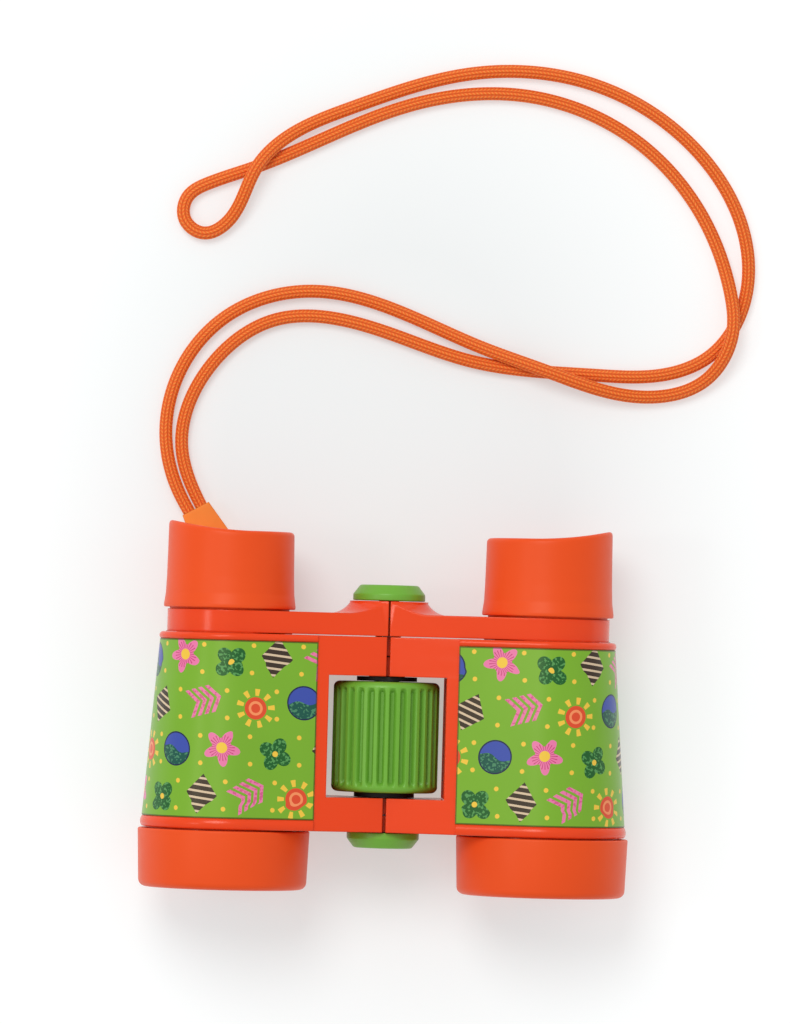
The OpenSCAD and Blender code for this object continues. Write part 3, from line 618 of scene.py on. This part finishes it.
class BINOCULARS_OT_cord_tab(Operator):
    """Rubber tab that holds both ends of the cord"""

    bl_idname = "binoculars.cord_tab"
    bl_label = "Cord tab"

    def execute(self, context):
        shade = tuple(context.scene.binocular_colours.tab)
        dress("cord_tab", plain_material("tab_rubber", shade, 0.5, edge=0.6 * MM))
        return {"FINISHED"}


# Soft rings and eyecups


def soft_material(colours):
    """Matt soft-touch plastic: fine grain, and a faint darker bloom here and there."""
    s = Shader("soft_touch")
    shade = tinted(s, colours.soft, scaled_colour(colours.soft, 0.84), 60.0, 0.55)
    grain = s.noise(3800.0, 2.0)
    return s.finish(
        Base_Color=shade,
        Roughness=0.36 + s.noise(300.0) * 0.1,
        Normal=s.bump(grain, 0.00003, 0.3),
        Specular_IOR_Level=0.28,
        Specular_Tint=(1.0, 0.85, 0.7, 1.0),
    )


def placed(front, corners):
    """Corners (r, d, rounding) in millimetres, d from a front edge, as metres in the part's frame."""
    rows = np.array(corners, float) * MM
    rows[:, 1] += front
    return rows


class BINOCULARS_OT_objective_rings(Operator):
    """Soft rings round the objective lenses"""

    bl_idname = "binoculars.objective_rings"
    bl_label = "Objective rings"
    # In millimetres: bores for a cap, for the barrel and at the lip that holds the lens, and the lip's ends
    cap_bore, barrel_bore, lip_bore = 16.35, 17.85, 15.85
    lip_front, lip_rear = 4, 8
    taper = 0.5

    def execute(self, context):
        material = bpy.data.materials.get("soft_touch") or soft_material(context.scene.binocular_colours)
        rear = (RING_REAR - RING_FRONT) / MM
        full = RING_R / MM
        outline = rounded(placed(RING_FRONT, [
            (self.cap_bore, 0, 0.5), (full - self.taper, 0, 2.2), (full, rear, 0.4),
            (self.barrel_bore, rear, 0.2), (self.barrel_bore, self.lip_rear, 0.1),
            (self.lip_bore, self.lip_rear, 0.2), (self.lip_bore, self.lip_front, 0.3),
            (self.cap_bore, self.lip_front, 0.1),
        ]))
        for side in SIDES:
            piece = turned(f"{side}_ring_skin", outline, AXIS_X[side], LARGE_TURN, material)
            attach(piece, f"{side}_half", "soft_orange", f"{side}_objective_ring")
        return {"FINISHED"}


def wing_rise(x):
    """How far the eyecup's rim rises at x, outwards from the axis: a wide arc, level towards the nose.

    The rise is the arc's radius less the root of its square less the square of the reach.
    """
    wing_r, inset = 83 * MM, 5 * MM
    reach = np.clip(x + inset, 0, None)
    return wing_r - np.sqrt(wing_r**2 - reach**2)


class BINOCULARS_OT_eyecups(Operator):
    """Soft eyecups with a raised outer wing and a small foot on the arm"""

    bl_idname = "binoculars.eyecups"
    bl_label = "Eyecups"
    # In millimetres: depths of the rim, the bowl's floor and the lens seat, and the foot in the arm's gap
    rim, bowl_floor, lens_seat = 18.2, 13.3, 12.1
    mouth_r, bowl_r, eye_r = 12.7, 11.9, 9.6
    foot, foot_inset = 0.36, 1.4

    def execute(self, context):
        material = bpy.data.materials.get("soft_touch") or soft_material(context.scene.binocular_colours)
        base, tube, foot_r = CUP_BASE_R / MM, TUBE_R / MM, CUP_BASE_R / MM - self.foot_inset
        outline = rounded(placed(CUP_FRONT, [
            (tube, -self.foot, 0.1), (foot_r, -self.foot, 0.1), (foot_r, 0, 0.1),
            (base, 0, 0.35), (base, 0.8, 0.7), (base - 0.36, 3.4, 6), (base - 0.52, 7.4, 9),
            (base - 0.7, self.rim, 1.0), (self.mouth_r, self.rim, 0.7), (self.bowl_r, self.bowl_floor, 0.6),
            (self.eye_r, self.bowl_floor, 0.4), (self.eye_r, self.lens_seat, 0.2),
            (tube, self.lens_seat, 0.1),
        ]))
        outline = filled_in(outline, 0.7 * MM)
        faces = grid_faces(len(outline), LARGE_TURN, True, True)
        floor, rim = CUP_FRONT + self.bowl_floor * MM, CUP_FRONT + self.rim * MM
        for side in SIDES:
            points = revolved(outline, AXIS_X[side], LARGE_TURN)
            lift = smoothed((points[..., 1] - floor) / (rim - floor))
            points[..., 1] += lift * wing_rise((points[..., 0] - AXIS_X[side]) * OUTWARD[side])
            piece = new_piece(f"{side}_eyecup_skin", points, faces, material)
            attach(piece, f"{side}_eyepiece", "soft_orange", f"{side}_eyecup")
        return {"FINISHED"}


# Green pieces


def green_material(colours):
    """Satin green moulding with faint flow lines, and painted shade deep in the wheel's grooves."""
    s = Shader("green_satin")
    shade = tinted(s, colours.green, scaled_colour(colours.green, 0.82), 90.0, 0.5)
    groove_shade_depth, _ = s.map_mm("groove")
    # Painted shade: the green darkens by the groove's depth, towards half its value at full depth
    shade = s.mix(groove_shade_depth * 0.32, shade, scaled_colour(colours.green, 0.5))
    return s.finish(
        Base_Color=shade,
        Roughness=0.34 + s.noise(600.0) * 0.1,
        Normal=s.bump(s.noise(1800.0), 0.00003, 0.3),
        Specular_IOR_Level=0.4,
        Specular_Tint=(1.0, 1.0, 0.8, 1.0),
        Coat_Weight=0.08,
        Coat_Roughness=0.25,
    )


class BINOCULARS_OT_focus_wheel(Operator):
    """Ribbed focusing wheel: a drum whose skin sinks by a smooth step of the cosine of its turns"""

    bl_idname = "binoculars.focus_wheel"
    bl_label = "Focusing wheel"
    # Bore and shoulder in millimetres, then the cosines at which a groove starts and has its full depth
    bore, shoulder = 5.5, 1.4
    groove_start, groove_full = -0.6, 0.8
    run_out = 0.9 * MM
    steps_per_groove = 14
    # Only points this close to the full radius sink
    skin_from, skin_rise = 0.05 * MM, 0.04 * MM

    def execute(self, context):
        sizes = context.scene.binocular_sizes
        material = bpy.data.materials.get("green_satin") or green_material(context.scene.binocular_colours)
        size = (WHEEL_REAR - WHEEL_FRONT) / MM
        full = WHEEL_R / MM
        outline = filled_in(rounded(placed(WHEEL_FRONT, [
            (self.bore, 0, 0.1), (full, 0, self.shoulder),
            (full, size, self.shoulder), (self.bore, size, 0.1),
        ])), 0.5 * MM)
        turns = sizes.groove_count * self.steps_per_groove
        points = revolved(outline, 0.0, turns)
        angle = np.linspace(0, 2 * math.pi, turns, endpoint=False)
        swing = np.cos(sizes.groove_count * angle)
        wave = smoothed((swing - self.groove_start) / (self.groove_full - self.groove_start))
        from_middle = np.abs(outline[:, 1] - (WHEEL_FRONT + WHEEL_REAR) / 2)
        ends = smoothed((sizes.groove_length / 2 - from_middle) / self.run_out)
        skin = smoothed((outline[:, 0] - WHEEL_R + self.skin_from) / self.skin_rise)
        cut = (sizes.groove_depth * ends * skin)[:, None] * wave
        shrink = 1 - cut / outline[:, :1]
        points[..., 0] *= shrink
        points[..., 2] = AXIS_Z + (points[..., 2] - AXIS_Z) * shrink
        faces = grid_faces(len(outline), turns, True, True)
        # The grooves' depth, in the map that the painted shade in the grooves reads
        groove_shade_depth = np.stack([cut / MAP_UNIT, np.zeros_like(cut)], -1).reshape(-1, 2)[faces.ravel()]
        piece = new_piece("focus_wheel_ribbed", points, faces, material, groove=groove_shade_depth)
        attach(piece, "wheel", "green_plastic", "focus_wheel")
        return {"FINISHED"}


class BINOCULARS_OT_end_caps(Operator):
    """Green caps on the two ends of the hinge"""

    bl_idname = "binoculars.end_caps"
    bl_label = "End caps"
    # In millimetres: radii of the flat top and of the hollow, the straight edge and the wall behind the top
    top_r, hollow_r, edge, wall = 6.8, 6.25, 1.5, 1.1

    def execute(self, context):
        material = bpy.data.materials.get("green_satin") or green_material(context.scene.binocular_colours)
        full = CAP_R / MM
        for name, body, outwards in (("rear_cap", "left_eyepiece", 1.0), ("front_cap", "left_half", -1.0)):
            low, high = node_span(name, 1)
            size = (high - low) / MM
            outline = rounded(np.array([
                (0, size, 0), (self.top_r, size, 0.9), (full, self.edge, 0.7), (full, 0, 0.25),
                (self.hollow_r, 0, 0), (self.hollow_r, size - self.wall, 0), (0, size - self.wall, 0),
            ]) * MM)
            outline[:, 1] = (low if outwards > 0 else high) + outwards * outline[:, 1]
            piece = turned(f"{name}_skin", outline, 0.0, SMALL_TURN, material)
            attach(piece, body, "green_plastic", name)
        return {"FINISHED"}


# Labels


def body_radius(y):
    """Radius of the conical barrel at y, from the ring's shoulder to the rear edge."""
    return BODY_FRONT_R + (BODY_REAR_R - BODY_FRONT_R) * (y - BODY_FRONT) / (BODY_REAR - BODY_FRONT)


def label_line(y, side, steps, grow):
    """Outline of the label at y, grown outwards: a line along the bridge's top, an arc round the barrel and
    a line along the bridge's underside, where both lines touch the barrel and the hinge's knuckle.

    Returns points (x, z) on the outline, x from the barrel's axis towards the hinge, and the run of each
    from the top of the barrel.
    """
    span = abs(AXIS_X[side])
    r = body_radius(y)
    lean = np.arcsin((r - KNUCKLE_R) / span)
    r = r + grow
    round_share = np.linspace(0, 1, steps[1])[None]
    angle = (math.pi / 2 - lean)[:, None] + (math.pi + 2 * lean)[:, None] * round_share
    arc_x, arc_z = r[:, None] * np.cos(angle), r[:, None] * np.sin(angle)
    inner = span - LABEL_INNER_X
    share = np.linspace(0, 1, steps[0], endpoint=False)[None]
    top_x = inner + (arc_x[:, :1] - inner) * share
    top_z = arc_z[:, :1] - (top_x - arc_x[:, :1]) * np.tan(lean)[:, None]
    x = np.concatenate([top_x, arc_x, top_x[:, ::-1]], 1)
    z = np.concatenate([top_z, arc_z, -top_z[:, ::-1]], 1)
    run = np.concatenate([np.zeros((len(y), 1)), np.cumsum(np.hypot(np.diff(x), np.diff(z)), axis=1)], 1)
    crest = np.take_along_axis(run, np.argmax(z * (np.abs(x) < r[:, None]), axis=1)[:, None], 1)
    return x, z, run - crest


def wrapped_film(side, y, outer_grow, inner_grow):
    """Closed film on the label's outline along y: an outer and an inner skin with a rim between them.

    Returns its points, its faces and the run of each outer point from the top of the barrel.
    """
    line_steps, arc_steps = 24, 121
    layers = []
    for grow in (outer_grow, inner_grow):
        x, z, run = label_line(y, side, (line_steps, arc_steps), grow)
        depth = np.broadcast_to(y[:, None], x.shape)
        layers.append((np.stack([AXIS_X[side] - OUTWARD[side] * x, depth, AXIS_Z + z], -1), run))
    rows, columns = layers[0][1].shape
    skin = grid_faces(rows, columns)
    edge = np.concatenate([
        np.arange(columns), np.arange(1, rows) * columns + columns - 1,
        (rows - 1) * columns + np.arange(columns - 1)[::-1], np.arange(1, rows - 1)[::-1] * columns,
    ])
    ahead = np.roll(edge, -1)
    rim = np.stack([edge, edge + rows * columns, ahead + rows * columns, ahead], 1)
    faces = np.concatenate([skin, skin[:, ::-1] + rows * columns, rim])
    return np.stack([points for points, _ in layers]), faces, layers[0][1]


def label_material(sizes, colours):
    """Printed film: green ground with scattered flowers, balls, suns, chevrons, diamonds and clovers, and a
    painted shade line round its edges.
    """
    s = Shader("label_print")
    u, v = s.map_mm("print")
    cell = sizes.motif_cell / MM
    row_len = cell * 0.9
    row = (v / row_len).math("FLOOR")
    shifted = u / cell + row * 0.5 + 40.0
    column = shifted.math("FLOOR")
    kind = (column + row * 2.0 + 60.0) % 6.0
    drift = (column * 5.1 + row * 2.3).math("SINE")
    across, along = (shifted - column - 0.5) * cell, (v / row_len - row - 0.5) * row_len
    p = across + drift * 0.9
    q = along + (column * 3.7 - row * 4.1).math("SINE") * 0.8
    turn = column * 0.9 + row * 2.1
    cos, sin = turn.math("COSINE"), turn.math("SINE")
    x, y = (p * cos - q * sin) / sizes.motif_size, (p * sin + q * cos) / sizes.motif_size
    far = (x * x + y * y).math("SQRT")
    angle = y.math("ARCTAN2", x)

    pink, rose, yellow = srgb(232, 120, 168), srgb(196, 62, 118), srgb(240, 196, 70)
    blue, teal, red = srgb(58, 78, 168), srgb(18, 84, 74), srgb(222, 76, 48)
    umber, cream, leaf = srgb(58, 44, 42), srgb(214, 190, 160), srgb(22, 92, 44)

    def is_kind(number):
        return abs(kind - number) < 0.5

    def paint(under, number, shape, ink):
        return s.mix(shape * is_kind(number), under, ink)

    speckle = s.noise(1500.0, 1.0) > 0.56
    shade = tinted(s, colours.ground, scaled_colour(colours.ground, 0.84), 55.0, 0.7)
    dot_x, dot_y = abs(across) - cell / 2, abs(abs(along) - row_len * 0.3)
    shade = s.mix((dot_x * dot_x + dot_y * dot_y) < 0.3, shade, yellow)

    petals = far < 2.5 + (angle * 5.0).math("COSINE") * 0.8
    veins = ((angle * 25.0).math("COSINE") > 0.55) * (far < 2.3)
    shade = paint(shade, 0, petals, s.mix(veins, pink, rose))
    shade = paint(shade, 0, far < 0.95, yellow)

    ball = far < 3.0
    half = x + (y * 1.4).math("SINE") * 0.35 > 0.0
    shade = paint(shade, 1, ball, s.mix(half, blue, s.mix(speckle * 0.7, teal, srgb(86, 150, 110))))
    shade = paint(shade, 1, ball * (far > 2.75), srgb(22, 34, 74))

    rays = (far > 2.2) * (far < 3.4) * ((angle * 9.0).math("COSINE") > 0.35)
    shade = paint(shade, 2, rays, yellow)
    shade = paint(shade, 2, far < 1.95, s.mix((far > 0.8) * (far < 1.25), red, srgb(244, 146, 96)))

    fold = x + abs(y) * 0.7
    chevron = (abs(y) < 2.4) * (abs(fold - 1.1) < 2.4)
    shade = paint(shade, 3, chevron * (((fold + 9.0) % 1.3) < 0.75), s.mix(speckle * 0.6, pink, rose))

    diamond = abs(x) + abs(y) * 1.25 < 3.5
    shade = paint(shade, 4, diamond, s.mix(((x + 9.0) % 1.15) < 0.38, umber, cream))

    lobes = far < 1.7 + abs((angle * 2.0).math("COSINE")) * 1.3
    shade = paint(shade, 5, lobes, s.mix(speckle * 0.8, leaf, srgb(92, 160, 92)))
    shade = paint(shade, 5, far < 0.5, yellow)

    # Painted shade: a dark brown line along the label's edges, as the shade of a recess round it
    to_side, to_end = s.map_mm("edge")
    line = to_side.math("MINIMUM", to_end) < sizes.label_edge_shade / MM
    shade = s.mix(line * 0.75, shade, srgb(70, 52, 24))
    fine = s.noise(2600.0)
    return s.finish(
        Base_Color=shade,
        Roughness=0.26 + s.noise(120.0) * 0.08,
        Normal=s.bump(fine, 0.00001, 0.3),
        Specular_IOR_Level=0.36,
        Specular_Tint=(1.0, 1.0, 0.6, 1.0),
    )


class BINOCULARS_OT_labels(Operator):
    """Printed labels wrapped round the barrels"""

    bl_idname = "binoculars.labels"
    bl_label = "Printed labels"
    rows, film_top, film_under = 43, 0.25 * MM, 0.02 * MM

    def execute(self, context):
        sizes, colours = context.scene.binocular_sizes, context.scene.binocular_colours
        material = label_material(sizes, colours)
        y = np.linspace(LABEL_FRONT, LABEL_REAR, self.rows)
        for side in SIDES:
            points, faces, around = wrapped_film(side, y, self.film_top, self.film_under)
            along = np.broadcast_to((y - LABEL_FRONT)[:, None], around.shape)
            spread = np.stack([-OUTWARD[side] * around, along], -1).reshape(-1, 2) / MAP_UNIT
            run = around - around[:, :1]
            to_side = np.minimum(run, run[:, -1:] - run)
            to_end = np.broadcast_to(np.minimum(y - LABEL_FRONT, LABEL_REAR - y)[:, None], run.shape)
            margin = np.stack([to_side, to_end], -1).reshape(-1, 2) / MAP_UNIT
            corners, margins = (np.concatenate([pairs, pairs])[faces.ravel()] for pairs in (spread, margin))
            piece = new_piece(f"{side}_label_film", points, faces, material, print=corners, edge=margins)
            attach(piece, f"{side}_half", "label_print", f"{side}_label")
        return {"FINISHED"}


# Camera and stage


class BINOCULARS_OT_camera(Operator):
    """Camera that looks down on the binoculars from a distance"""

    bl_idname = "binoculars.camera"
    bl_label = "Camera"
    focal_mm, sensor_mm = 250.0, 36.0
    nearest, farthest = 0.1, 10.0
    place, turn_degrees = (-0.0344, 0.0166, 1.696), (0.983, -1.235, 1.566)

    def execute(self, context):
        data = bpy.data.cameras.new("camera")
        data.lens, data.sensor_width = self.focal_mm, self.sensor_mm
        data.clip_start, data.clip_end = self.nearest, self.farthest
        camera = bpy.data.objects.new("camera", data)
        camera.location = self.place
        camera.rotation_euler = [math.radians(turn) for turn in self.turn_degrees]
        context.scene.collection.objects.link(camera)
        context.scene.camera = camera
        return {"FINISHED"}


def area_light(name, place, aim, size, power):
    """A round white lamp at a place, turned towards its aim; metres and watts."""
    data = bpy.data.lights.new(name, "AREA")
    data.shape, data.size, data.energy = "DISK", size, power
    light = bpy.data.objects.new(name, data)
    light.location = place
    way = np.array(aim, float) - np.array(place, float)
    light.rotation_euler = (
        math.atan2(math.hypot(way[0], way[1]), -way[2]), 0.0, math.atan2(way[1], way[0]) - math.pi / 2
    )
    bpy.context.scene.collection.objects.link(light)


class BINOCULARS_OT_stage(Operator):
    """Pale glowing floor, with painted shade in a pool under the object, soft studio light from the upper
    left and a small lamp at the left side
    """

    bl_idname = "binoculars.stage"
    bl_label = "Stage and light"
    extent, drop = 1.6, 0.1 * MM
    # The floor glows less in an oval pool under the object, a painted shade: its middle, stretch, reach and
    # soft edge
    pool_y, pool_stretch, pool_reach, pool_edge = 0.05, 2.25, 0.06, 0.09
    outer_glow, sky_strength = 1.42, 0.6

    def execute(self, context):
        scene = context.scene
        s = Shader("pale_floor")
        x, y, _ = s.parts(s.place())
        across, along = x * x * self.pool_stretch, (y - self.pool_y) * (y - self.pool_y)
        out = ((across + along).math("SQRT") - self.pool_reach) / self.pool_edge
        fade = out.math("MAXIMUM", 0.0).math("MINIMUM", 1.0)
        glow = tuple(scene.binocular_colours.glow)
        material = s.finish(
            Base_Color=scene.binocular_colours.floor, Roughness=0.9, Specular_IOR_Level=0.1,
            Emission_Color=s.mix(fade, glow, scaled_colour(glow, self.outer_glow)), Emission_Strength=1.0,
        )
        signs = ((-1, -1), (1, -1), (1, 1), (-1, 1))
        corners = [(x_sign * self.extent, y_sign * self.extent, -self.drop) for x_sign, y_sign in signs]
        mesh = bpy.data.meshes.new("floor")
        mesh.from_pydata(corners, [], [(0, 1, 2, 3)])
        mesh.materials.append(material)
        floor = bpy.data.objects.new("floor", mesh)
        scene.collection.objects.link(floor)
        world = bpy.data.worlds.new("studio")
        world.use_nodes = True
        sky = world.node_tree.nodes["Background"].inputs
        sky["Color"].default_value = (1.0, 1.0, 1.0, 1.0)
        sky["Strength"].default_value = self.sky_strength
        scene.world = world
        area_light("key", (-0.27, 0.55, 1.1), (0.0, 0.02, 0.0), 0.6, 6.5)
        area_light("side", (-0.8, 0.03, 0.9), (0.0, 0.0, 0.02), 0.2, 0.8)
        scene.view_settings.view_transform = "Standard"
        return {"FINISHED"}


OPERATORS = (
    BINOCULARS_OT_camera,
    BINOCULARS_OT_neck_cord,
    BINOCULARS_OT_mouldings,
    BINOCULARS_OT_inner_pieces,
    BINOCULARS_OT_cord_tab,
    BINOCULARS_OT_objective_rings,
    BINOCULARS_OT_eyecups,
    BINOCULARS_OT_focus_wheel,
    BINOCULARS_OT_end_caps,
    BINOCULARS_OT_labels,
    BINOCULARS_OT_stage,
)


class BINOCULARS_PT_panel(Panel):
    """Lists the sizes, the colours and the pieces of the binoculars"""

    bl_label = "Toy binoculars"
    bl_idname = "BINOCULARS_PT_panel"
    bl_space_type = "VIEW_3D"
    bl_region_type = "UI"
    bl_category = "Binoculars"

    def draw(self, context):
        for group in (context.scene.binocular_sizes, context.scene.binocular_colours):
            for name in group.__annotations__:
                self.layout.prop(group, name)
        for made in OPERATORS:
            self.layout.operator(made.bl_idname)


CLASSES = (BinocularSizes, BinocularColours, *OPERATORS, BINOCULARS_PT_panel)


def register():
    """Adds the classes, and the sizes and colours to the scene."""
    for made in CLASSES:
        bpy.utils.register_class(made)
    bpy.types.Scene.binocular_sizes = PointerProperty(type=BinocularSizes)
    bpy.types.Scene.binocular_colours = PointerProperty(type=BinocularColours)


def unregister():
    """Takes away what register adds."""
    del bpy.types.Scene.binocular_colours
    del bpy.types.Scene.binocular_sizes
    for made in reversed(CLASSES):
        bpy.utils.unregister_class(made)


def main():
    """Makes every piece in order."""
    register()
    for made in OPERATORS:
        group, name = made.bl_idname.split(".")
        getattr(getattr(bpy.ops, group), name)()


if __name__ == "__main__":
    main()
